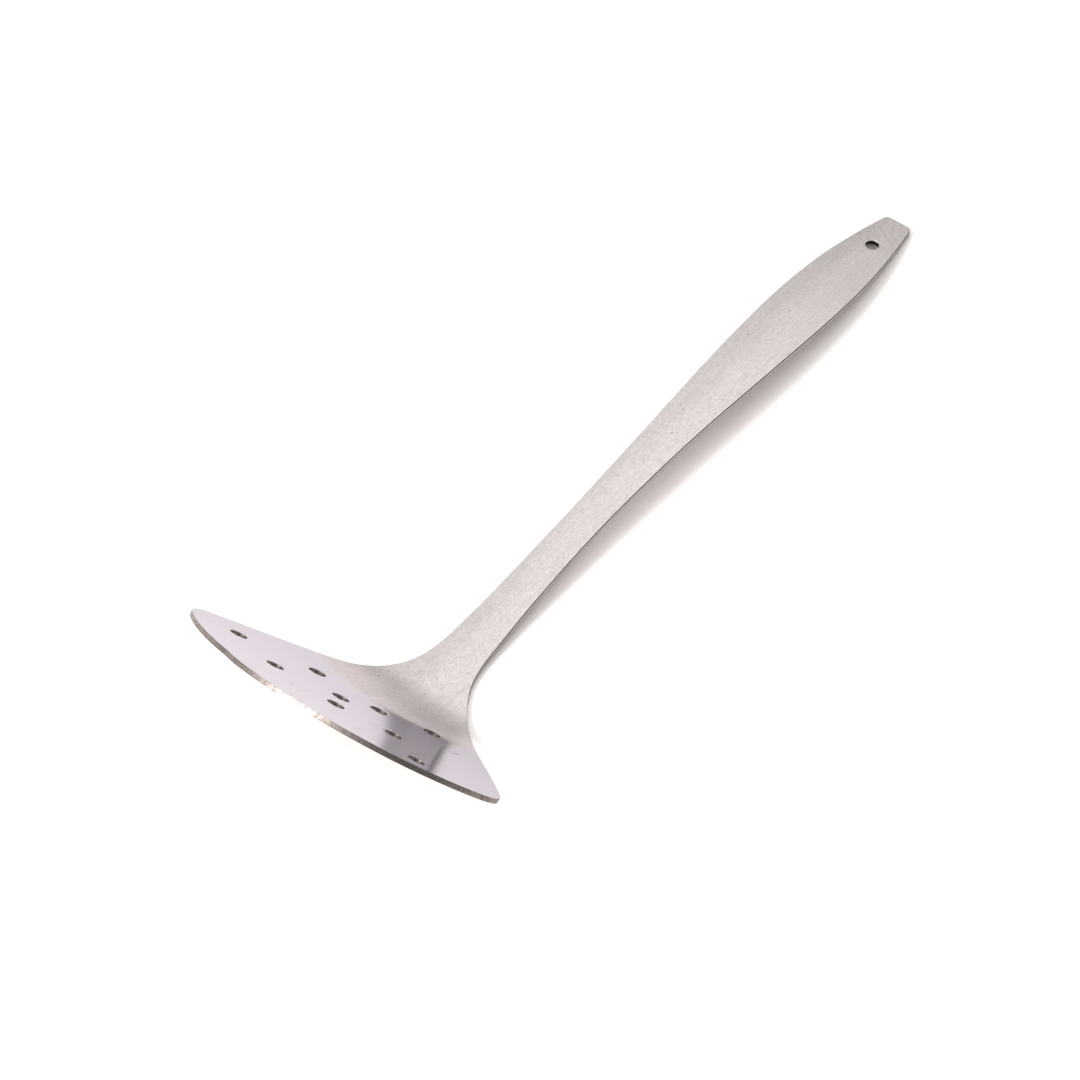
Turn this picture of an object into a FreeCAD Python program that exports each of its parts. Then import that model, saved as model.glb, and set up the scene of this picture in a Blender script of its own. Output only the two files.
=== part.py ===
import FreeCAD, Part
import math
import os
import Sketcher

# One-piece potato masher, pressed from a single strip of stainless steel.
# The strip starts at the cut-off handle end (distance 0), crowns gently along the handle, narrows to a
# waist, then flares while it bends up into a flat perforated plate with a curved front edge.
# "Distance" always means the length measured along the strip's upper face from the handle end, and
# "side" means the offset from the centre line, along Y.
# The tool lies on its back: X runs from the plate to the handle end and Z points up.

# Driving dimensions, in millimetres and degrees.
SIZES = {
    "thickness": 1.6,
    "end_rise": 8.68,
    "crown_radius": 725.0,
    "crown_angle": 15.6,
    "neck_radius": 590.0,
    "neck_angle": 3.0,
    "entry_radius": 38.0,
    "entry_angle": 9.2,
    "bend_radius": 16.7,
    "bend_angle": 30.3,
    "plate_radius": 790.0,
    "plate_angle": 4.6,
    "strip_width": 130.0,
    "front_radius": 65.8,
    "tip_corner_radius": 8.0,
    "end_corner_radius": 1.8,
    "hanging_hole_diameter": 4.3,
    "hanging_hole_distance": 14.9,
    "perforation_diameter": 5.2,
}

# The strip's outline: half its width at chosen distances from the handle end.
OUTLINE_STATIONS = {
    "end": (0.0, 4.7),
    "end_swell": (14.0, 7.2),
    "belly_start": (30.0, 9.2),
    "belly": (50.0, 10.0),
    "belly_end": (80.0, 9.1),
    "taper": (115.0, 7.1),
    "waist_start": (146.0, 5.9),
    "waist": (168.0, 5.6),
    "waist_end": (196.0, 6.1),
    "neck": (210.0, 6.8),
    "flare_start": (220.0, 7.7),
    "flare": (227.0, 9.7),
    "flare_end": (234.0, 14.1),
    "plate_start": (242.0, 21.5),
    "plate_side": (254.0, 32.4),
    "plate_shoulder": (264.0, 41.7),
    "plate_corner": (272.0, 48.5),
    "past_plate": (318.0, 84.6),
}

# The perforations: how far each one lies back from the middle of the front edge, and to which side.
PERFORATIONS = [
    (31.9, 38.6),
    (23.7, 20.2),
    (43.7, 17.3),
    (33.3, 2.5),
    (23.1, -1.9),
    (44.2, -4.7),
    (29.6, -18.5),
    (54.5, -17.6),
    (18.1, -33.1),
]

# How far the tools that cut the strip stand clear of it, and how many sections its outline is cut with.
CUTTER_MARGIN = 4.0
OUTLINE_SECTIONS = 60
CUTTER_HEIGHT = "sizes.thickness + %g" % (2 * CUTTER_MARGIN)
FRONT_BLOCK_BACK = 15.0
FRONT_TRIM = 0.5
TIP_DISTANCE = 280.0
TIP_REACH = 6.0
CORNER_TOLERANCE = 0.05

doc = FreeCAD.newDocument("potato_masher")


def make_size_sheet():
    """Write the driving dimensions into a spreadsheet, one alias a row."""
    sheet = doc.addObject("Spreadsheet::Sheet", "sizes")
    rows = dict(SIZES)
    for name, (distance, half_width) in OUTLINE_STATIONS.items():
        rows[name + "_distance"] = distance
        rows[name + "_half_width"] = half_width
    for number, (back, side) in enumerate(PERFORATIONS, 1):
        rows["perforation_%d_back" % number] = back
        rows["perforation_%d_side" % number] = side
    for row, (alias, value) in enumerate(rows.items(), 1):
        sheet.set("A%d" % row, alias)
        sheet.set("B%d" % row, str(value))
        sheet.setAlias("B%d" % row, alias)
    doc.recompute()
    return sheet


def size(alias):
    return float(sizes.get(alias))


# The upper face's side view, from the handle end to the plate's front edge: each stretch is an arc with
# its radius, its angle and the way it turns (+1 anticlockwise, -1 clockwise).
ARC_STRETCHES = [
    ("crown", "crown_radius", "crown_angle", 1),
    ("neck", "neck_radius", "neck_angle", -1),
    ("entry", "entry_radius", "entry_angle", -1),
    ("bend", "bend_radius", "bend_angle", -1),
    ("exit", "entry_radius", "entry_angle", -1),
    ("plate", "plate_radius", "plate_angle", -1),
]


def start_heading():
    """The direction in which the strip leaves the handle end, in degrees from +X in the XZ plane."""
    return 180.0 - size("end_rise")


def along(heading, length):
    angle = math.radians(heading)
    return FreeCAD.Vector(length * math.cos(angle), 0, length * math.sin(angle))


def strip_frame(distance):
    """The point on the upper face at this distance, and the heading there."""
    point = FreeCAD.Vector(0, 0, 0)
    heading = start_heading()
    left = distance
    for _, radius_alias, angle_alias, turn in ARC_STRETCHES:
        radius = size(radius_alias)
        whole = math.radians(size(angle_alias)) * radius
        used = min(left, whole)
        turned = turn * math.degrees(used / radius)
        centre = point + along(heading + 90 * turn, radius)
        heading += turned
        point = centre + along(heading - 90 * turn, radius)
        left -= used
        if left <= 0:
            break
    return point + along(heading, left), heading


def stretch_length(radius_alias, angle_alias):
    return math.radians(size(angle_alias)) * size(radius_alias)


def front_distance():
    """The whole length of the strip, from the handle end to the middle of the front edge."""
    return sum(stretch_length(radius, angle) for _, radius, angle, _ in ARC_STRETCHES)


def plate_middle():
    return front_distance() - stretch_length("plate_radius", "plate_angle") / 2


def strip_placement(distance, side=0.0, depth=0.0):
    """A frame sunk below the upper face: Z out of the face, X back to the handle end, Y to the side."""
    point, heading = strip_frame(distance)
    outward = along(heading - 90, 1.0)
    back = along(heading + 180, 1.0)
    rotation = FreeCAD.Rotation(back, FreeCAD.Vector(0, 1, 0), outward, "ZXY")
    base = point + FreeCAD.Vector(0, side, 0) - outward * depth
    return FreeCAD.Placement(base, rotation)


def sketch_arc(sketch, start, heading, radius, angle, turn):
    """Add one arc of the side view. Returns its number, its far point and the heading there."""
    centre = start + along(heading + 90 * turn, radius)
    new_heading = heading + turn * angle
    end = centre + along(new_heading - 90 * turn, radius)
    first = math.radians(heading - 90 * turn)
    last = math.radians(new_heading - 90 * turn)
    if turn < 0:
        first, last = last, first
    flat_centre = FreeCAD.Vector(centre.x, centre.z, 0)
    circle = Part.Circle(flat_centre, FreeCAD.Vector(0, 0, 1), radius)
    number = sketch.addGeometry(Part.ArcOfCircle(circle, first, last), False)
    return number, end, new_heading


def sketch_line(sketch, start, end):
    line = Part.LineSegment(FreeCAD.Vector(start.x, start.z, 0), FreeCAD.Vector(end.x, end.z, 0))
    return sketch.addGeometry(line, False)


def bind(sketch, kind, number, value, name, expression):
    """Add a dimension to one edge and tie it to the sheet."""
    if kind == "Angle":
        value = math.radians(value)
    index = sketch.addConstraint(Sketcher.Constraint(kind, number, value))
    sketch.renameConstraint(index, name)
    sketch.setExpression("Constraints." + name, expression)


def sketch_face(sketch, face, start, offset):
    """Add one face of the side view as a chain of tangent arcs.

    offset is +1 on the lower face and 0 on the upper one, and counts sheet thicknesses.
    Returns the first arc and its start, and the last arc and its end.
    """
    heading = start_heading()
    point = start
    previous = None
    first = None
    for name, radius_alias, angle_alias, turn in ARC_STRETCHES:
        radius = size(radius_alias) - turn * offset * size("thickness")
        number, point, heading = sketch_arc(sketch, point, heading, radius, size(angle_alias), turn)
        begins, ends = (1, 2) if turn > 0 else (2, 1)
        if previous is None:
            first = (number, begins)
        else:
            sketch.addConstraint(Sketcher.Constraint("Tangent", previous[0], previous[1], number, begins))
        previous = (number, ends)
        formula = "sizes.%s - %d * sizes.thickness" % (radius_alias, turn * offset)
        bind(sketch, "Radius", number, radius, "%s_%s_radius" % (face, name), formula)
        bind(sketch, "Angle", number, size(angle_alias), "%s_%s_angle" % (face, name),
             "sizes.%s * 1 deg" % angle_alias)
    return first, previous


def make_bent_strip():
    """The strip at its full width, with the handle's crown and the bend up into the plate."""
    body = doc.addObject("PartDesign::Body", "bent_strip")
    sketch = body.newObject("Sketcher::SketchObject", "side_view")
    plane = next(item for item in body.Origin.OriginFeatures if item.Role == "XZ_Plane")
    sketch.AttachmentSupport = (plane, [""])
    sketch.MapMode = "FlatFace"
    upper_start = FreeCAD.Vector(0, 0, 0)
    lower_start = along(start_heading() + 90, size("thickness"))
    upper_first, upper_last = sketch_face(sketch, "upper", upper_start, 0)
    lower_first, lower_last = sketch_face(sketch, "lower", lower_start, 1)
    end_cap = sketch_line(sketch, upper_start, lower_start)
    sketch.addConstraint(Sketcher.Constraint("Coincident", end_cap, 1, -1, 1))
    sketch.addConstraint(Sketcher.Constraint("Coincident", end_cap, 1, *upper_first))
    sketch.addConstraint(Sketcher.Constraint("Coincident", end_cap, 2, *lower_first))
    bind(sketch, "Distance", end_cap, size("thickness"), "end_thickness", "sizes.thickness")
    upper_end, front_heading = strip_frame(front_distance())
    lower_end = upper_end + along(front_heading + 90, size("thickness"))
    front_cap = sketch_line(sketch, upper_end, lower_end)
    sketch.addConstraint(Sketcher.Constraint("Coincident", front_cap, 1, *upper_last))
    sketch.addConstraint(Sketcher.Constraint("Coincident", front_cap, 2, *lower_last))
    doc.recompute()
    pad = body.newObject("PartDesign::Pad", "full_width")
    pad.Profile = sketch
    pad.SideType = "Symmetric"
    pad.setExpression("Length", "sizes.strip_width")
    doc.recompute()
    return body


def half_width_curve():
    """Half the strip's width against the distance, as one smooth curve through the stations."""
    points = [
        FreeCAD.Vector(size(name + "_distance"), size(name + "_half_width"), 0)
        for name in OUTLINE_STATIONS
    ]
    curve = Part.BSplineCurve()
    curve.interpolate(Points=points)
    return curve


def section_wire(distance, half_width):
    """A rectangle square to the strip, as wide as the strip is there and deeper than the sheet."""
    place = strip_placement(distance)
    low = -size("thickness") - CUTTER_MARGIN
    corners = [
        (-half_width, low),
        (half_width, low),
        (half_width, CUTTER_MARGIN),
        (-half_width, CUTTER_MARGIN),
    ]
    points = [place.multVec(FreeCAD.Vector(0, side, height)) for side, height in corners]
    return Part.makePolygon(points + points[:1])


def make_outline_cutter():
    """A solid whose side walls follow the strip's outline and stay square to the sheet all the way."""
    stations = half_width_curve().discretize(Number=OUTLINE_SECTIONS)
    wires = [section_wire(point.x, point.y) for point in stations]
    cutter = doc.addObject("Part::Feature", "outline_cutter")
    cutter.Shape = Part.makeLoft(wires, True, False)
    return cutter


def make_round_cutter(name, radius_expression, placement):
    """A cylinder square to the sheet and longer than it is thick."""
    cylinder = doc.addObject("Part::Cylinder", name)
    cylinder.setExpression("Radius", radius_expression)
    cylinder.setExpression("Height", CUTTER_HEIGHT)
    cylinder.Placement = placement
    return cylinder


def make_punch(name, diameter_alias, distance, side=0.0):
    placement = strip_placement(distance, side, cutter_depth())
    return make_round_cutter(name, "sizes.%s / 2" % diameter_alias, placement)


def cutter_depth():
    return size("thickness") + CUTTER_MARGIN


def make_front_waste():
    """What the curved front edge leaves of the strip's end: a block less a disc."""
    middle = strip_placement(plate_middle(), 0.0, cutter_depth())
    disc_shift = plate_middle() - (front_distance() - FRONT_TRIM - size("front_radius"))
    disc_place = middle * FreeCAD.Placement(FreeCAD.Vector(disc_shift, 0, 0), FreeCAD.Rotation())
    disc = make_round_cutter("front_disc", "sizes.front_radius", disc_place)
    block = doc.addObject("Part::Box", "front_block")
    block.setExpression("Length", "sizes.front_radius")
    block.setExpression("Width", "sizes.strip_width + %g" % (2 * CUTTER_MARGIN))
    block.setExpression("Height", CUTTER_HEIGHT)
    block_start = FreeCAD.Vector(-size("front_radius") + FRONT_BLOCK_BACK, -size("strip_width") / 2, 0)
    block_start.y -= CUTTER_MARGIN
    block.Placement = middle * FreeCAD.Placement(block_start, FreeCAD.Rotation())
    waste = doc.addObject("Part::Cut", "front_waste")
    waste.Base = block
    waste.Tool = disc
    return waste


def make_punches():
    """The hanging hole's punch and the plate's."""
    punches = [make_punch("hanging_punch", "hanging_hole_diameter", size("hanging_hole_distance"))]
    for number in range(1, len(PERFORATIONS) + 1):
        distance = front_distance() - size("perforation_%d_back" % number)
        side = size("perforation_%d_side" % number)
        punches.append(make_punch("perforation_punch_%d" % number, "perforation_diameter", distance, side))
    return punches


def corner_edges(shape, near, reach, radius):
    """The edges across the sheet's thickness within reach of a point, each with its radius twice."""
    found = []
    for number, edge in enumerate(shape.Edges, 1):
        middle = edge.valueAt((edge.FirstParameter + edge.LastParameter) / 2)
        across = abs(edge.Length - size("thickness")) < CORNER_TOLERANCE
        if across and FreeCAD.Vector(middle.x, 0, middle.z).distanceToPoint(near) < reach:
            found.append((number, radius, radius))
    return found


def make_blank():
    """The bent strip cut to its outline, with its front edge curved."""
    strip = make_bent_strip()
    cutter = make_outline_cutter()
    waste = make_front_waste()
    outlined = doc.addObject("Part::MultiCommon", "outlined_strip")
    outlined.Shapes = [strip, cutter]
    blank = doc.addObject("Part::Cut", "blank")
    blank.Base = outlined
    blank.Tool = waste
    doc.recompute()
    return blank


def round_corners(blank):
    """Round the plate's two tips and the handle end's two corners."""
    rounded = doc.addObject("Part::Fillet", "rounded_blank")
    rounded.Base = blank
    tips = corner_edges(blank.Shape, strip_frame(TIP_DISTANCE)[0], TIP_REACH, size("tip_corner_radius"))
    end = corner_edges(blank.Shape, strip_frame(0)[0], size("thickness"), size("end_corner_radius"))
    if len(tips) != 2 or len(end) != 2:
        raise RuntimeError("expected two plate tips and two handle corners")
    rounded.Edges = tips + end
    doc.recompute()
    return rounded


def make_masher_body():
    """The whole tool, one pressed piece, set down so that it rests on the ground plane."""
    rounded = round_corners(make_blank())
    tools = make_punches()
    punches = doc.addObject("Part::MultiFuse", "punches")
    punches.Shapes = tools
    body = doc.addObject("Part::Cut", "masher_body")
    body.Base = rounded
    body.Tool = punches
    doc.recompute()
    box = body.Shape.optimalBoundingBox()
    base = FreeCAD.Vector(-(box.XMin + box.XMax) / 2, -(box.YMin + box.YMax) / 2, -box.ZMin)
    body.Placement = FreeCAD.Placement(base, FreeCAD.Rotation())
    body.Label = "masher_body"
    doc.recompute()
    return body


def check_document(sub_parts):
    """Stop if any object failed, or if a punch or a cutter took nothing away."""
    for item in doc.Objects:
        if "Invalid" in item.State or "Error" in item.State:
            raise RuntimeError(item.Name + " failed: " + str(item.State))
    for item in sub_parts:
        if item.Shape.isNull() or not item.Shape.isValid() or len(item.Shape.Solids) != 1:
            raise RuntimeError(item.Name + " is not one valid solid")
    if not sub_parts[0].Shape.Volume < doc.rounded_blank.Shape.Volume < doc.outlined_strip.Shape.Volume:
        raise RuntimeError("a cutter took nothing away")


def describe(body):
    """Print what the record states: the box, the volume and the hanging hole."""
    box = body.Shape.optimalBoundingBox()
    hole = body.Placement * strip_placement(size("hanging_hole_distance"), 0.0, size("thickness") / 2)
    axis = hole.Rotation.multVec(FreeCAD.Vector(0, 0, 1))
    print("box", box, "volume", body.Shape.Volume)
    print("origin shift", body.Placement.Base, "strip length", front_distance())
    print("hanging hole", hole.Base, "axis", axis)


sizes = make_size_sheet()
masher_body = make_masher_body()
check_document([masher_body])
describe(masher_body)
os.makedirs("parts", exist_ok=True)
masher_body.Shape.exportStep("parts/" + masher_body.Label + ".step")
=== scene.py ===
from math import atan, atan2, cos, hypot, pi, radians, sin, sqrt, tan

import bmesh
import bpy
from mathutils import Matrix, Vector


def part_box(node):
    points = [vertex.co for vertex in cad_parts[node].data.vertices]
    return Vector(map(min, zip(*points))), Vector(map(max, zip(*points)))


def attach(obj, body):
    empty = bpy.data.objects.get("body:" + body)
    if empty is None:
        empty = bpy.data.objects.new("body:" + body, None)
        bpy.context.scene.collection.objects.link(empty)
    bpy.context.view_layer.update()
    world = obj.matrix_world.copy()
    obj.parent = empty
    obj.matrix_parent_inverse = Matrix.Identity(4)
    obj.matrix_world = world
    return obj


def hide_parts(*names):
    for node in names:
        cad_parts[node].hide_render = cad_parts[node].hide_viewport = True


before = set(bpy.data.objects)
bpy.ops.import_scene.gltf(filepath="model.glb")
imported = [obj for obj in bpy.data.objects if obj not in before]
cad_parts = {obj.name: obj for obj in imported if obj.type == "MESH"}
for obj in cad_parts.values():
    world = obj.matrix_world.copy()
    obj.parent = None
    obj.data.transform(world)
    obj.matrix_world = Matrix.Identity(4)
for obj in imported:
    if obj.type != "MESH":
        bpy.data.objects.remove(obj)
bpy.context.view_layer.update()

bl_info = {
    "name": "Pressed Steel Masher",
    "version": (1, 0, 0),
    "blender": (4, 5, 0),
    "location": "View3D > Sidebar > Masher",
    "description": "A hand masher pressed from one strip of sheet steel, with its studio",
    "category": "Object",
}

MM = 0.001

# Half outline of the flat sheet: distance from the handle end, half width (mm). The last two
# stations lie on the straight side of the mashing plate.
STATIONS = (
    (0, 4.7), (14, 7.2), (30, 9.2), (50, 10), (80, 9.1), (115, 7.1), (146, 5.9), (168, 5.6),
    (196, 6.1), (210, 6.8), (220, 7.7), (227, 9.7), (234, 14.1), (242, 21.5), (254, 32.4),
    (264, 41.7), (272, 48.5), (318, 84.6),
)
# Side view of the bent strip, from the handle end: radius of the upper face (mm), angle
# (degrees), and +1 where the strip turns down or -1 where it turns up.
BENDS = (
    (725, 15.6, 1),
    (590, 3.0, -1),
    (38, 9.2, -1),
    (16.7, 30.3, -1),
    (38, 9.2, -1),
    (790, 4.6, -1),
)
# Holes of the mashing plate: distance back from the strip's front end, side (mm).
PERFORATIONS = (
    (31.9, 38.6), (23.7, 20.2), (43.7, 17.3), (33.3, 2.5), (23.1, -1.9),
    (44.2, -4.7), (29.6, -18.5), (54.5, -17.6), (18.1, -33.1),
)
STRIP_LENGTH = sum(radius * radians(angle) for radius, angle, _ in BENDS) * MM

# How finely the sheet is drawn: steps in each arc, sides of a hole, and a straight step's length (mm).
FRONT_STEPS = 56
TIP_STEPS = 12
END_STEPS = 6
HOLE_SIDES = 48
OUTLINE_STEP = 2
EASE_SEGMENTS = 3
LEAST_BEND_SLICES = 6

# A face belongs to the sheared edge if its normal's upright part is below this, on the flat sheet.
WALL_STEEPNESS = 0.8

# How finely each pattern of the steel repeats: the higher, the finer.
GRAIN_SCALE = 3200.0
MOTTLE_SCALE = 900.0
CLOUD_SCALE = 45.0
STREAK_SCALE = 1500.0
SWIRL_SCALE = 120.0
PIT_SCALE = 300.0
SCRATCH_PATCH_SCALE = 90.0
CUT_MARK_SCALE = 3500.0

# How deep the finest relief looks.
SHEET_RELIEF = 0.015 * MM
CUT_RELIEF = 0.003 * MM

# The studio: the floor's half size, where the two lights stand, where the sky is dim, and the width
# of the camera's sensor (mm).
FLOOR_HALF_SIZE = 3.0
KEY_SIZE = 0.4
KEY_PLACE = (-0.84, 0.40, 0.80)
CEILING_SIZE = 1.6
CEILING_PLACE = (0.66, 0.38, 1.45)
DIM_DIRECTION = (-0.66, -0.60, 0.45)
DIM_START = 0.82
DIM_FULL = 0.95
SENSOR_WIDTH = 36


class MasherSizes(bpy.types.PropertyGroup):
    thickness: bpy.props.FloatProperty(
        name="Thickness", description="Thickness of the sheet", default=1.6 * MM, unit="LENGTH")
    end_rise: bpy.props.FloatProperty(
        name="End rise", description="Slope of the strip at the handle end",
        default=radians(8.68), subtype="ANGLE")
    end_corner: bpy.props.FloatProperty(
        name="End corner", description="Radius of the handle end's corners",
        default=1.8 * MM, unit="LENGTH")
    tip_corner: bpy.props.FloatProperty(
        name="Tip corner", description="Radius of the plate's two tips",
        default=8 * MM, unit="LENGTH")
    front_radius: bpy.props.FloatProperty(
        name="Front radius", description="Radius of the plate's front edge",
        default=65.8 * MM, unit="LENGTH")
    front_trim: bpy.props.FloatProperty(
        name="Front trim", description="What the front edge leaves of the strip's length",
        default=0.5 * MM, unit="LENGTH")
    perforation: bpy.props.FloatProperty(
        name="Perforation", description="Diameter of the plate's holes",
        default=5.2 * MM, unit="LENGTH")
    hanging_hole: bpy.props.FloatProperty(
        name="Hanging hole", description="Diameter of the hole to hang the masher by",
        default=4.3 * MM, unit="LENGTH")
    hanging_distance: bpy.props.FloatProperty(
        name="Hanging distance", description="From the handle end to the hanging hole",
        default=14.9 * MM, unit="LENGTH")
    dent_start: bpy.props.FloatProperty(
        name="Dent start", description="Side where the front edge starts to be pressed in",
        default=44 * MM, unit="LENGTH")
    dent_step: bpy.props.FloatProperty(
        name="Dent step", description="Side where the front edge steps back out",
        default=27 * MM, unit="LENGTH")
    dent_width: bpy.props.FloatProperty(
        name="Dent width", description="Width of the step in the front edge",
        default=5 * MM, unit="LENGTH")
    dent_depth: bpy.props.FloatProperty(
        name="Dent depth", description="How far the front edge is pressed in",
        default=0.7 * MM, unit="LENGTH")
    edge_ease: bpy.props.FloatProperty(
        name="Edge ease", description="Rounding of the outline's edges",
        default=0.28 * MM, unit="LENGTH")
    rim_ease: bpy.props.FloatProperty(
        name="Rim ease", description="Rounding of the holes' rims",
        default=0.16 * MM, unit="LENGTH")


class SteelFinish(bpy.types.PropertyGroup):
    satin: bpy.props.FloatVectorProperty(
        name="Satin steel", description="Colour of the tumbled handle",
        default=(0.435, 0.402, 0.396), size=3, subtype="COLOR")
    polished: bpy.props.FloatVectorProperty(
        name="Polished steel", description="Colour of the polished plate",
        default=(0.345, 0.341, 0.373), size=3, subtype="COLOR")
    # Painted light: the bend is coloured paler than the handle, standing in for its brighter
    # reflections; its duller roughness is its own.
    painted_bend_light: bpy.props.FloatVectorProperty(
        name="Bend painted light", description="Colour of the paler, duller bend",
        default=(0.57, 0.525, 0.52), size=3, subtype="COLOR")
    cut: bpy.props.FloatVectorProperty(
        name="Cut steel", description="Colour of the sheared edges",
        default=(0.25, 0.218, 0.198), size=3, subtype="COLOR")
    satin_roughness: bpy.props.FloatProperty(
        name="Satin roughness", description="Roughness of the handle", default=0.36)
    stretched_roughness: bpy.props.FloatProperty(
        name="Stretched roughness", description="Roughness of the bend", default=0.46)
    polished_roughness: bpy.props.FloatProperty(
        name="Polished roughness", description="Roughness of the plate", default=0.10)
    # Painted reflection: the light line along the handle's edges and the bright rim of the hanging
    # hole.
    painted_edge_light: bpy.props.FloatVectorProperty(
        name="Painted edge light", description="Colour of the handle's tumbled edges",
        default=(0.58, 0.54, 0.52), size=3, subtype="COLOR")
    neck_distance: bpy.props.FloatProperty(
        name="Neck distance", description="Where the polish starts to spread from the neck",
        default=219 * MM, unit="LENGTH")
    polish_start: bpy.props.FloatProperty(
        name="Polish start", description="From the neck to where the satin ends",
        default=40 * MM, unit="LENGTH")
    polish_end: bpy.props.FloatProperty(
        name="Polish end", description="From the neck to where the full polish begins",
        default=46 * MM, unit="LENGTH")


class StudioSettings(bpy.types.PropertyGroup):
    floor: bpy.props.FloatVectorProperty(
        name="Floor", description="Colour of the pale floor",
        default=(0.97, 0.92, 0.895), size=3, subtype="COLOR")
    sky: bpy.props.FloatProperty(
        name="Sky", description="Strength of the sky in front of the camera", default=0.95)
    dark_side: bpy.props.FloatProperty(
        name="Dark side", description="Strength of the sky behind the camera", default=0.08)
    key: bpy.props.FloatProperty(
        name="Key light", description="Power of the light behind the plate", default=12.0,
        unit="POWER")
    ceiling: bpy.props.FloatProperty(
        name="Ceiling light", description="Power of the large soft light overhead",
        default=8.0, unit="POWER")
    azimuth: bpy.props.FloatProperty(
        name="Azimuth", description="Camera's direction, from +X towards +Y",
        default=radians(-141.666), subtype="ANGLE")
    elevation: bpy.props.FloatProperty(
        name="Elevation", description="Camera's height above the horizon",
        default=radians(50.188), subtype="ANGLE")
    roll: bpy.props.FloatProperty(
        name="Roll", description="Camera's turn about its own axis",
        default=radians(-0.321), subtype="ANGLE")
    distance: bpy.props.FloatProperty(
        name="Distance", description="From the aim point to the camera",
        default=1.2697, unit="LENGTH")
    aim_across: bpy.props.FloatProperty(
        name="Aim across", description="Aim point's place to the right of the origin",
        default=-22.48 * MM, unit="LENGTH")
    aim_up: bpy.props.FloatProperty(
        name="Aim up", description="Aim point's place above the origin, in the view",
        default=-10.03 * MM, unit="LENGTH")
    lens: bpy.props.FloatProperty(
        name="Lens", description="Focal length (mm)", default=143.33)


# ---- the sheet, cut flat: X is the distance from the handle end, Y the side, Z the height ----


def half_width(distance):
    """Half width of the sheet at a distance (mm): a smooth curve through the stations."""
    last = len(STATIONS) - 1
    i = 0
    while i < last - 1 and STATIONS[i + 1][0] < distance:
        i += 1

    def slope(k):
        before, after = STATIONS[max(k - 1, 0)], STATIONS[min(k + 1, last)]
        return (after[1] - before[1]) / (after[0] - before[0])

    (start, from_width), (end, to_width) = STATIONS[i], STATIONS[i + 1]
    span = end - start
    t = (distance - start) / span
    rise = t * t * (3 - 2 * t)
    return (
        from_width + (to_width - from_width) * rise
        + slope(i) * span * t * (1 - t) ** 2
        - slope(i + 1) * span * t * t * (1 - t)
    )


def sweep(bm, start, centre, angle, steps):
    """Draw an arc from a vertex about a centre on the flat sheet, and return its last vertex."""
    arc = bmesh.ops.spin(
        bm, geom=[start], cent=centre, axis=(0, 0, 1), angle=angle, steps=steps)
    return next(item for item in arc["geom_last"] if isinstance(item, bmesh.types.BMVert))


def join(bm, last, distance, side):
    """Draw a straight edge from the last vertex to a place on the sheet (metres)."""
    corner = bm.verts.new((distance, side, 0))
    bm.edges.new((last, corner))
    return corner


def draw_front(bm, sizes):
    """Front edge from its middle to one tip, with the tip's rounding; returns the last vertex."""
    (base_distance, base_width), (end_distance, end_width) = STATIONS[-2:]
    spread = atan2(end_width - base_width, end_distance - base_distance)
    along_side = Vector((cos(spread), sin(spread), 0))
    inwards = Vector((sin(spread), -cos(spread), 0))
    front = Vector((STRIP_LENGTH - sizes.front_trim, 0, 0))
    disc = front - Vector((sizes.front_radius, 0, 0))
    # The tip's rounding touches the side from inside, and the front edge from inside.
    base = Vector((base_distance * MM, base_width * MM, 0)) + sizes.tip_corner * inwards - disc
    reach = sizes.front_radius - sizes.tip_corner
    across = base.dot(along_side)
    travel = sqrt(across**2 + reach**2 - base.length_squared) - across
    to_tip = base + travel * along_side
    turn = atan2(to_tip.y, to_tip.x)
    vertex = sweep(bm, bm.verts.new(front), disc, turn, FRONT_STEPS)
    return sweep(bm, vertex, disc + to_tip, pi / 2 + spread - turn, TIP_STEPS)


def draw_side(bm, vertex, sizes):
    """Side of the sheet from the tip back to the middle of the handle end."""
    (_, end_width), (near, near_width) = STATIONS[:2]
    flare = atan((near_width - end_width) / near)
    corner = sizes.end_corner
    centre_side = end_width * MM + corner * (tan(flare) - 1 / cos(flare))
    last_distance = corner * (1 - sin(flare))
    vertex = join(bm, vertex, STATIONS[-2][0] * MM, STATIONS[-2][1] * MM)
    distance = STATIONS[-2][0] - OUTLINE_STEP
    while distance * MM > 2 * last_distance:
        vertex = join(bm, vertex, distance * MM, half_width(distance) * MM)
        distance -= OUTLINE_STEP
    vertex = join(bm, vertex, last_distance, centre_side + corner * cos(flare))
    vertex = sweep(bm, vertex, (corner, centre_side, 0), pi / 2 - flare, END_STEPS)
    join(bm, vertex, 0, 0)


def draw_hole(bm, distance, side, diameter):
    """Ring of edges for a round hole."""
    bmesh.ops.create_circle(
        bm, segments=HOLE_SIDES, radius=diameter / 2,
        matrix=Matrix.Translation((distance, side, 0)))


def dent_front(bm, sizes):
    """Press in the front edge a little on one side, up to a small step back outwards."""
    for vertex in bm.verts:
        outer, inner = sizes.dent_start, sizes.dent_step
        side = vertex.co.y
        if not (vertex.co.x > STRIP_LENGTH / 2 and 0 < side < outer):
            continue
        if side > inner:
            vertex.co.x -= sizes.dent_depth * (outer - side) / (outer - inner)
        else:
            after = max(0, 1 - (inner - side) / sizes.dent_width)
            vertex.co.x -= sizes.dent_depth * (1.4 * after - 0.4 * min(1, 2 * side / inner))


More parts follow.
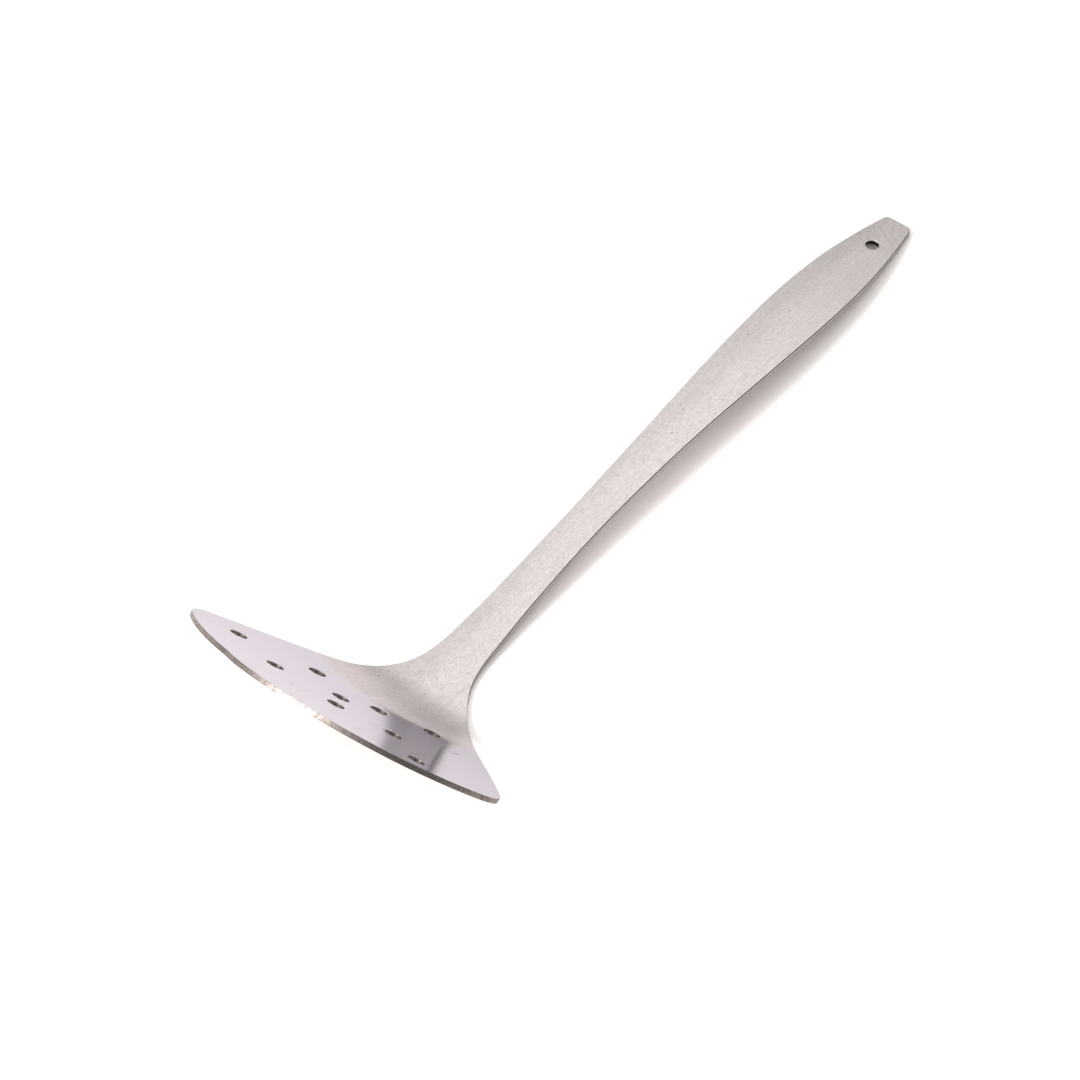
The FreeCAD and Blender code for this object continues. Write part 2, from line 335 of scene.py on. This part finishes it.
def cut_sheet(bm, sizes):
    """Flat sheet with its outline and holes, its upper face at height 0."""
    draw_side(bm, draw_front(bm, sizes), sizes)
    bmesh.ops.mirror(bm, geom=bm.verts[:] + bm.edges[:], axis="Y", merge_dist=1e-7)
    dent_front(bm, sizes)
    draw_hole(bm, sizes.hanging_distance, 0, sizes.hanging_hole)
    for back, side in PERFORATIONS:
        draw_hole(bm, STRIP_LENGTH - back * MM, side * MM, sizes.perforation)
    bmesh.ops.triangle_fill(
        bm, edges=bm.edges[:], use_beauty=True, use_dissolve=False, normal=(0, 0, 1))
    grown = bmesh.ops.extrude_face_region(bm, geom=bm.faces[:])
    lower = [item for item in grown["geom"] if isinstance(item, bmesh.types.BMVert)]
    bmesh.ops.translate(bm, verts=lower, vec=(0, 0, -sizes.thickness))
    bmesh.ops.recalc_face_normals(bm, faces=bm.faces[:])


def is_wall(face):
    """A face of the sheared edge, rather than of the sheet's upper or lower side."""
    return abs(face.normal.z) < WALL_STEEPNESS


def ease_edges(bm, sizes):
    """Round the sharp edges of the outline and of the holes."""
    bm.normal_update()
    sharp = [edge for edge in bm.edges if sum(is_wall(face) for face in edge.link_faces) == 1]
    holes = [(sizes.hanging_distance, 0, sizes.hanging_hole / 2)]
    holes += [
        (STRIP_LENGTH - back * MM, side * MM, sizes.perforation / 2) for back, side in PERFORATIONS]
    rims = {
        edge for edge in sharp
        if any(
            hypot(edge.verts[0].co.x - distance, edge.verts[0].co.y - side) < radius * 1.01
            for distance, side, radius in holes)
    }
    outline = [edge for edge in sharp if edge not in rims]
    for edges, ease in ((outline, sizes.edge_ease), (list(rims), sizes.rim_ease)):
        bmesh.ops.bevel(
            bm, geom=edges, offset=ease, offset_type="OFFSET", segments=EASE_SEGMENTS, profile=0.5,
            affect="EDGES", clamp_overlap=True, material=-1)


def slice_sheet(bm):
    """Cut the flat sheet across wherever it has to bend: closely in the bends."""
    start = 0
    for radius, angle, _ in BENDS:
        length = radius * radians(angle) * MM
        pieces = max(LEAST_BEND_SLICES, round(length / (OUTLINE_STEP * MM)))
        for step in range(1, pieces + 1):
            bmesh.ops.bisect_plane(
                bm, geom=bm.verts[:] + bm.edges[:] + bm.faces[:], dist=2e-6,
                plane_co=(start + length * step / pieces, 0, 0), plane_no=(1, 0, 0))
        start += length


def bend_sheet(bm, sizes):
    """Move every vertex from the flat sheet to its place on the bent strip."""
    low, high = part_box("masher_body")
    heading = pi - sizes.end_rise
    point = Vector((high[0], 0, low[2] + sizes.thickness * cos(sizes.end_rise)))
    start = 0
    stretches = []
    for radius, angle, turn in BENDS:
        stretches.append((start, point, heading, radius * MM, turn))
        after = heading + turn * radians(angle)
        point = point + radius * MM * turn * Vector(
            (sin(after) - sin(heading), 0, cos(heading) - cos(after)))
        start += radius * MM * radians(angle)
        heading = after
    for vertex in bm.verts:
        distance, side, height = vertex.co
        start, point, heading, radius, turn = next(
            (s for s in reversed(stretches) if s[0] <= distance), stretches[0])
        now = heading + turn * (distance - start) / radius
        vertex.co = (
            point
            + radius * turn * Vector((sin(now) - sin(heading), 0, cos(heading) - cos(now)))
            + height * Vector((sin(now), 0, -cos(now)))
            + Vector((0, side, 0))
        )


def map_sheet(bm):
    """Note every point's place on the flat sheet, in metres, for the finish to follow."""
    layer = bm.loops.layers.uv.new("sheet")
    depth = bm.verts.layers.float.new("depth")
    for vertex in bm.verts:
        vertex[depth] = -vertex.co.z
    for face in bm.faces:
        face.smooth = True
        face.material_index = int(is_wall(face))
        for loop in face.loops:
            loop[layer].uv = loop.vert.co.xy


def make_masher(sizes, finish):
    """The masher's one piece of steel: cut, pierced, eased, mapped and bent."""
    bm = bmesh.new()
    cut_sheet(bm, sizes)
    ease_edges(bm, sizes)
    slice_sheet(bm)
    bm.normal_update()
    map_sheet(bm)
    bend_sheet(bm, sizes)
    mesh = bpy.data.meshes.new("pressed_strip")
    bm.to_mesh(mesh)
    bm.free()
    mesh.materials.append(make_sheet_steel(finish))
    mesh.materials.append(make_cut_steel(sizes, finish))
    piece = bpy.data.objects.new("pressed_strip", mesh)
    bpy.context.scene.collection.objects.link(piece)
    weights = piece.modifiers.new("face_normals", "WEIGHTED_NORMAL")
    weights.mode = "FACE_AREA"
    weights.weight = 80
    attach(piece, "root")
    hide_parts("masher_body")


# ---- finishes ----


def add_node(tree, kind, settings=None, **inputs):
    """New node with its settings, and its inputs set or linked by name ('_' for a space)."""
    node = tree.nodes.new(kind)
    for name, value in (settings or {}).items():
        setattr(node, name, value)
    for name, value in inputs.items():
        socket = node.inputs[int(name[1:])] if name[1:].isdigit() else node.inputs[
            name.replace("_", " ")]
        if isinstance(value, bpy.types.NodeSocket):
            tree.links.new(value, socket)
        else:
            socket.default_value = value
    return node


def calculate(tree, operation, first, second=0.0, third=0.0):
    """Output of a Math node."""
    return add_node(
        tree, "ShaderNodeMath", {"operation": operation}, i0=first, i1=second, i2=third
    ).outputs[0]


def ramp(tree, value, low, high, to_low=0.0, to_high=1.0):
    """Value moved smoothly from one range to another."""
    return add_node(
        tree, "ShaderNodeMapRange", {"interpolation_type": "SMOOTHSTEP"}, Value=value,
        From_Min=low, From_Max=high, To_Min=to_low, To_Max=to_high
    ).outputs[0]


def blend_values(tree, share, first, second):
    """Number between two others."""
    return add_node(tree, "ShaderNodeMix", {"data_type": "FLOAT"}, i0=share, i2=first, i3=second
                    ).outputs[0]


def blend_colours(tree, share, first, second, kind="MIX"):
    """Colour between two others."""
    return add_node(
        tree, "ShaderNodeMix", {"data_type": "RGBA", "blend_type": kind}, i0=share, i6=first,
        i7=second
    ).outputs[2]


def noise(tree, place, scale, detail=2.0):
    """Cloudy pattern from 0 to 1."""
    return add_node(
        tree, "ShaderNodeTexNoise", Vector=place, Scale=scale, Detail=detail).outputs["Fac"]


def new_material(name):
    """Material with an empty node tree, its output and its shader."""
    material = bpy.data.materials.new(name)
    material.use_nodes = True
    tree = material.node_tree
    tree.nodes.clear()
    shader = tree.nodes.new("ShaderNodeBsdfPrincipled")
    output = tree.nodes.new("ShaderNodeOutputMaterial")
    tree.links.new(shader.outputs[0], output.inputs["Surface"])
    return material, tree, shader


def colour(value):
    """Colour property with the alpha that a socket wants."""
    return (*value, 1.0)


def find_polish(tree, sheet, finish):
    """0 on the satin handle and neck, 1 on the polished plate, with an arc between them."""
    place = add_node(tree, "ShaderNodeSeparateXYZ", Vector=sheet)
    past = calculate(
        tree, "MAXIMUM", calculate(tree, "SUBTRACT", place.outputs["X"], finish.neck_distance))
    flat = add_node(tree, "ShaderNodeCombineXYZ", X=past, Y=place.outputs["Y"])
    reach = add_node(
        tree, "ShaderNodeVectorMath", {"operation": "LENGTH"}, Vector=flat.outputs[0])
    return ramp(tree, reach.outputs["Value"], finish.polish_start, finish.polish_end)


def find_painted_side_shade(tree, sheet, clouds):
    """Painted shade across the handle: greyer along one side, where its slightly crowned face would
    turn from the light.
    """
    place = add_node(tree, "ShaderNodeSeparateXYZ", Vector=sheet)
    drift = ramp(tree, clouds, 0.3, 0.7, -2.0 * MM, 2.0 * MM)
    side = calculate(tree, "ADD", place.outputs["Y"], drift)
    return ramp(tree, side, -1.0 * MM, 6.0 * MM, 1.03, 0.91)


def find_swirls(tree, sheet):
    """1 along the curved rubbing marks near the handle end."""
    centred = add_node(tree, "ShaderNodeMapping", Vector=sheet, Location=(0.004, 0.012, 0))
    rings = add_node(
        tree, "ShaderNodeTexWave", {"wave_type": "RINGS", "rings_direction": "Z"},
        Vector=centred.outputs[0], Scale=SWIRL_SCALE, Distortion=6.0, Detail=3.0, Detail_Scale=2.0)
    thin = ramp(tree, rings.outputs["Fac"], 0.7, 1.0)
    distance = add_node(tree, "ShaderNodeSeparateXYZ", Vector=sheet).outputs["X"]
    near_end = ramp(tree, distance, 9 * MM, 22 * MM, 1.0, 0.0)
    return calculate(tree, "MULTIPLY", thin, near_end)


def find_pits(tree, place):
    """1 in the few small pits of the handle."""
    cells = add_node(
        tree, "ShaderNodeTexVoronoi", {"feature": "F1"}, Vector=place, Scale=PIT_SCALE)
    near = calculate(tree, "LESS_THAN", cells.outputs["Distance"], 0.08)
    pick = add_node(tree, "ShaderNodeSeparateColor", Color=cells.outputs["Color"])
    chosen = calculate(tree, "GREATER_THAN", pick.outputs[0], 0.66)
    return calculate(tree, "MULTIPLY", near, chosen)


def find_scratches(tree, sheet, turn, size):
    """1 along a few hair-thin scratches."""
    turned = add_node(
        tree, "ShaderNodeMapping", Vector=sheet, Rotation=(0, 0, turn), Scale=(1.0, 6.0, 1.0))
    lines = add_node(
        tree, "ShaderNodeTexVoronoi", {"feature": "DISTANCE_TO_EDGE"},
        Vector=turned.outputs[0], Scale=size)
    thin = calculate(tree, "LESS_THAN", lines.outputs["Distance"], 0.006)
    patches = ramp(tree, noise(tree, sheet, SCRATCH_PATCH_SCALE), 0.55, 0.65)
    return calculate(tree, "MULTIPLY", thin, patches)


def make_sheet_steel(finish):
    """Stainless sheet: tumbled satin on the handle and the neck, near-mirror on the plate, with
    painted shade along one side of the handle and a paler, painted-light bend.
    """
    material, tree, shader = new_material("sheet_steel")
    place = add_node(tree, "ShaderNodeTexCoord").outputs["Object"]
    sheet = add_node(tree, "ShaderNodeUVMap", {"uv_map": "sheet"}).outputs["UV"]
    polish = find_polish(tree, sheet, finish)
    matte = calculate(tree, "SUBTRACT", 1.0, polish)
    grain = noise(tree, place, GRAIN_SCALE)
    mottle = noise(tree, place, MOTTLE_SCALE, 3.0)
    clouds = noise(tree, place, CLOUD_SCALE)
    drawn = add_node(tree, "ShaderNodeMapping", Vector=sheet, Scale=(0.04, 1.0, 1.0))
    streaks = noise(tree, drawn.outputs[0], STREAK_SCALE)
    pits = calculate(tree, "MULTIPLY", find_pits(tree, place), matte)
    scratches = calculate(
        tree, "MAXIMUM", find_scratches(tree, sheet, 0.5, 55.0),
        find_scratches(tree, sheet, -0.9, 40.0))

    distance = add_node(tree, "ShaderNodeSeparateXYZ", Vector=sheet).outputs["X"]
    # The bend's paler colour is painted light; its duller roughness is its own.
    bend_zone = ramp(tree, distance, 230 * MM, 250 * MM)
    base = blend_colours(tree, bend_zone, colour(finish.satin), colour(finish.painted_bend_light))
    base = blend_colours(tree, polish, base, colour(finish.polished))
    # Painted shade along one side of the handle, and the darker rubbing marks near its end.
    shade = calculate(tree, "ADD", find_painted_side_shade(tree, sheet, clouds), ramp(
        tree, find_swirls(tree, sheet), 0.0, 1.0, 0.0, -0.11))
    for pattern, depth in ((mottle, 0.025), (grain, 0.12), (streaks, 0.035), (clouds, 0.02)):
        shade = calculate(
            tree, "MULTIPLY", shade, ramp(tree, pattern, 0.3, 0.7, 1 - depth, 1 + depth))
    shade = calculate(tree, "SUBTRACT", shade, calculate(tree, "MULTIPLY", pits, 0.45))
    shade = blend_values(tree, polish, shade, 1.0)
    tint = add_node(tree, "ShaderNodeCombineColor", Red=shade, Green=shade, Blue=shade)
    tree.links.new(
        blend_colours(tree, 1.0, base, tint.outputs[0], "MULTIPLY"), shader.inputs["Base Color"])

    dull = blend_values(tree, bend_zone, finish.satin_roughness, finish.stretched_roughness)
    dull = calculate(tree, "ADD", dull, ramp(tree, mottle, 0.25, 0.75, 0.07, -0.05))
    rough = blend_values(
        tree, polish, dull,
        ramp(tree, clouds, 0.3, 0.7, finish.polished_roughness, finish.polished_roughness + 0.04))
    rough = calculate(tree, "ADD", rough, calculate(tree, "MULTIPLY", scratches, 0.2))
    tree.links.new(rough, shader.inputs["Roughness"])

    relief = calculate(tree, "ADD", calculate(tree, "MULTIPLY", grain, 0.5), mottle)
    relief = calculate(tree, "ADD", relief, calculate(tree, "MULTIPLY", streaks, 0.5))
    relief = calculate(tree, "MULTIPLY", matte, relief)
    relief = calculate(tree, "SUBTRACT", relief, calculate(tree, "MULTIPLY", pits, 4.0))
    relief = calculate(tree, "SUBTRACT", relief, calculate(tree, "MULTIPLY", scratches, 0.25))
    bump = add_node(tree, "ShaderNodeBump", Strength=1.0, Distance=SHEET_RELIEF, Height=relief)
    tree.links.new(bump.outputs[0], shader.inputs["Normal"])
    shader.inputs["Metallic"].default_value = 1.0
    shader.inputs["Specular Tint"].default_value = (0.87, 0.85, 0.89, 1.0)
    return material


def make_cut_steel(sizes, finish):
    """Sheared edge: darker, with fine marks across the sheet's thickness, and painted light and shade
    along the handle's edges and in the hanging hole.
    """
    material, tree, shader = new_material("cut_steel")
    sheet = add_node(tree, "ShaderNodeUVMap", {"uv_map": "sheet"}).outputs["UV"]
    place = add_node(tree, "ShaderNodeTexCoord").outputs["Object"]
    marks = noise(tree, sheet, CUT_MARK_SCALE)
    patches = noise(tree, place, MOTTLE_SCALE, 3.0)
    flat = add_node(tree, "ShaderNodeSeparateXYZ", Vector=sheet)
    in_hole = calculate(
        tree, "LESS_THAN", calculate(tree, "ABSOLUTE", flat.outputs["Y"]), 2.5 * MM)
    sheared = calculate(
        tree, "MAXIMUM", in_hole, ramp(tree, flat.outputs["X"], 225 * MM, 262 * MM))
    depth = add_node(tree, "ShaderNodeAttribute", {"attribute_name": "depth"}).outputs["Fac"]
    # Along the handle's edges the wall is painted in bands by depth: a dark line at the top for a
    # painted dark reflection, a light line in the middle for a painted reflection of the floor, and a
    # dark line at the bottom for painted contact shadow.
    middle = calculate(
        tree, "MULTIPLY", ramp(tree, depth, 0.65 * MM, 0.85 * MM),
        ramp(tree, depth, 1.2 * MM, 1.4 * MM, 1.0, 0.0))
    dark = tuple(0.65 * c for c in finish.cut)
    # Near-black colour of the painted shade and painted dark reflection.
    painted_dark = tuple(0.18 * c for c in finish.cut)
    base = blend_colours(
        tree, ramp(tree, patches, 0.35, 0.65), colour(finish.cut), colour(dark))
    painted_edge_light = blend_colours(tree, middle, colour(painted_dark), colour(finish.painted_edge_light))
    base = blend_colours(tree, sheared, painted_edge_light, base)
    # Painted shade inside the hanging hole, under a thin painted highlight on its rim.
    inside = blend_colours(
        tree, ramp(tree, depth, 0.12 * MM, 0.2 * MM), colour(finish.painted_edge_light), colour(painted_dark))
    hanging = calculate(
        tree, "MULTIPLY", in_hole,
        calculate(tree, "COMPARE", flat.outputs["X"], sizes.hanging_distance, 3 * MM))
    base = blend_colours(tree, hanging, base, inside)
    tree.links.new(base, shader.inputs["Base Color"])
    tree.links.new(ramp(tree, patches, 0.3, 0.7, 0.36, 0.46), shader.inputs["Roughness"])
    bump = add_node(tree, "ShaderNodeBump", Strength=1.0, Distance=CUT_RELIEF, Height=marks)
    tree.links.new(bump.outputs[0], shader.inputs["Normal"])
    shader.inputs["Metallic"].default_value = 1.0
    return material


# ---- studio ----


def make_floor(studio):
    """Plain pale floor under the masher."""
    bm = bmesh.new()
    bmesh.ops.create_grid(bm, x_segments=1, y_segments=1, size=FLOOR_HALF_SIZE)
    mesh = bpy.data.meshes.new("floor")
    bm.to_mesh(mesh)
    bm.free()
    material, _, shader = new_material("pale_floor")
    shader.inputs["Base Color"].default_value = colour(studio.floor)
    shader.inputs["Roughness"].default_value = 0.9
    shader.inputs["Specular IOR Level"].default_value = 0.0
    mesh.materials.append(material)
    floor = bpy.data.objects.new("floor", mesh)
    bpy.context.scene.collection.objects.link(floor)


def add_panel_light(name, power, size, place):
    """Soft square light that points at the masher."""
    light = bpy.data.lights.new(name, "AREA")
    light.energy = power
    light.shape = "RECTANGLE"
    light.size = size
    light.size_y = size
    thing = bpy.data.objects.new(name, light)
    bpy.context.scene.collection.objects.link(thing)
    thing.location = place
    thing.rotation_euler = (-Vector(place)).to_track_quat("-Z", "Y").to_euler()


def camera_back(studio):
    """Direction from the masher to the camera."""
    return Vector((
        cos(studio.azimuth) * cos(studio.elevation),
        sin(studio.azimuth) * cos(studio.elevation),
        sin(studio.elevation),
    ))


def make_sky(studio):
    """Light from all round, dim behind the camera; a plain white background when looked at."""
    world = bpy.data.worlds.new("studio_sky")
    world.use_nodes = True
    tree = world.node_tree
    background = tree.nodes["Background"]
    background.inputs["Color"].default_value = (1, 1, 1, 1)
    dim = Vector(DIM_DIRECTION).normalized()
    direction = add_node(tree, "ShaderNodeTexCoord").outputs["Generated"]
    facing = add_node(
        tree, "ShaderNodeVectorMath", {"operation": "DOT_PRODUCT"}, i0=direction, i1=dim)
    light = ramp(
        tree, facing.outputs["Value"], DIM_START, DIM_FULL, studio.sky, studio.dark_side)
    seen = add_node(tree, "ShaderNodeLightPath").outputs["Is Camera Ray"]
    tree.links.new(blend_values(tree, seen, light, 1.0), background.inputs["Strength"])
    bpy.context.scene.world = world


def make_camera(studio):
    """Camera at the studio's viewing angle."""
    back = camera_back(studio)
    level = Vector((0, 0, 1)).cross(back).normalized()
    upright = back.cross(level)
    right = cos(studio.roll) * level + sin(studio.roll) * upright
    up = cos(studio.roll) * upright - sin(studio.roll) * level
    lens = bpy.data.cameras.new("camera")
    lens.lens = studio.lens
    lens.sensor_width = SENSOR_WIDTH
    lens.clip_start = 0.05
    camera = bpy.data.objects.new("camera", lens)
    bpy.context.scene.collection.objects.link(camera)
    place = studio.aim_across * right + studio.aim_up * up + studio.distance * back
    camera.matrix_world = Matrix.Translation(place) @ Matrix(
        (right, up, back)).transposed().to_4x4()
    bpy.context.scene.camera = camera


# ---- operators, panel, registration ----


class MASHER_OT_press_strip(bpy.types.Operator):
    """Cut, pierce and bend the masher from one strip of steel"""

    bl_idname = "masher.press_strip"
    bl_label = "Press the masher"

    def execute(self, context):
        make_masher(context.scene.masher_sizes, context.scene.steel_finish)
        return {"FINISHED"}


class MASHER_OT_set_stage(bpy.types.Operator):
    """Set the floor, the soft lights and the camera"""

    bl_idname = "masher.set_stage"
    bl_label = "Set the stage"

    def execute(self, context):
        studio = context.scene.masher_studio
        make_floor(studio)
        make_sky(studio)
        add_panel_light("key_light", studio.key, KEY_SIZE, KEY_PLACE)
        add_panel_light("ceiling_light", studio.ceiling, CEILING_SIZE, CEILING_PLACE)
        make_camera(studio)
        context.scene.view_settings.view_transform = "Standard"
        return {"FINISHED"}


class MASHER_PT_panel(bpy.types.Panel):
    """Everything that builds the masher and its studio"""

    bl_idname = "MASHER_PT_panel"
    bl_label = "Masher"
    bl_space_type = "VIEW_3D"
    bl_region_type = "UI"
    bl_category = "Masher"

    def draw(self, context):
        for operator in OPERATORS:
            self.layout.operator(operator.bl_idname)
        for name in SETTINGS:
            settings = getattr(context.scene, name)
            for key in settings.__annotations__:
                self.layout.prop(settings, key)


OPERATORS = (MASHER_OT_press_strip, MASHER_OT_set_stage)
SETTINGS = {
    "masher_sizes": MasherSizes,
    "steel_finish": SteelFinish,
    "masher_studio": StudioSettings,
}


def register():
    for group in (*SETTINGS.values(), *OPERATORS, MASHER_PT_panel):
        bpy.utils.register_class(group)
    for name, group in SETTINGS.items():
        setattr(bpy.types.Scene, name, bpy.props.PointerProperty(type=group))


def unregister():
    for name in SETTINGS:
        delattr(bpy.types.Scene, name)
    for group in (MASHER_PT_panel, *reversed(OPERATORS), *SETTINGS.values()):
        bpy.utils.unregister_class(group)


def main():
    """Build the masher and its studio."""
    register()
    bpy.ops.masher.press_strip()
    bpy.ops.masher.set_stage()


if __name__ == "__main__":
    main()
